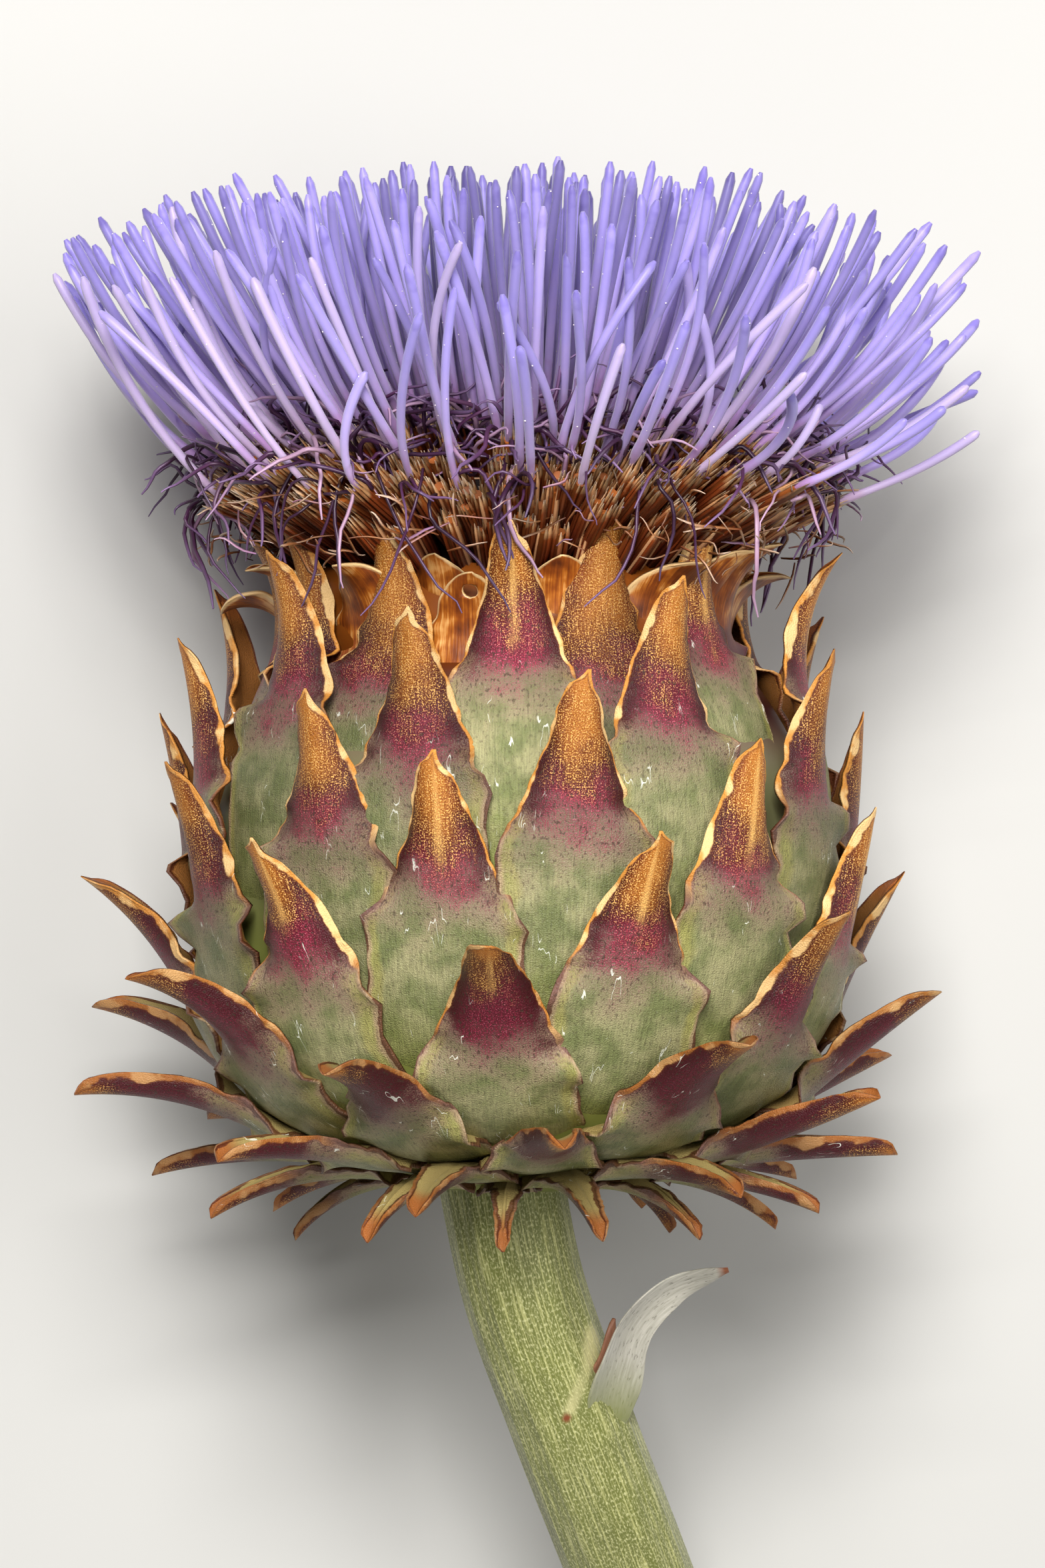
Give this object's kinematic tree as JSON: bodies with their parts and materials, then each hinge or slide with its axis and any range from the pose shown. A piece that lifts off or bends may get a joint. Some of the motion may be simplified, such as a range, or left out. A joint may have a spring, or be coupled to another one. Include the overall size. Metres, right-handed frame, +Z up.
{
  "type": "globe artichoke flower head",
  "caption": "Globe artichoke in flower, cut with its stalk and lying on its side: overlapping pointed bracts, a papery collar and a brush of violet florets.",
  "frame": {"origin": "middle of the laid flower's bounds, on the table", "axes": "+Y along the flower head towards its bloom, +Z up, +X to the right of the side that faces up"},
  "size_m": [0.1196, 0.2284, 0.1093],
  "materials": {
    "green_bract": "waxy leaf skin",
    "papery_bract": "dry, satin",
    "brown_tube": "dry fibre",
    "violet_floret": "soft petal",
    "green_stalk": "ribbed, fine bloom"
  },
  "bodies": {
    "root": {"bract_head": "green_bract", "papery_bracts": "papery_bract", "tube_bed": "brown_tube", "floret_bloom": "violet_floret", "flower_stalk": "green_stalk"}
  },
  "joints": []
}
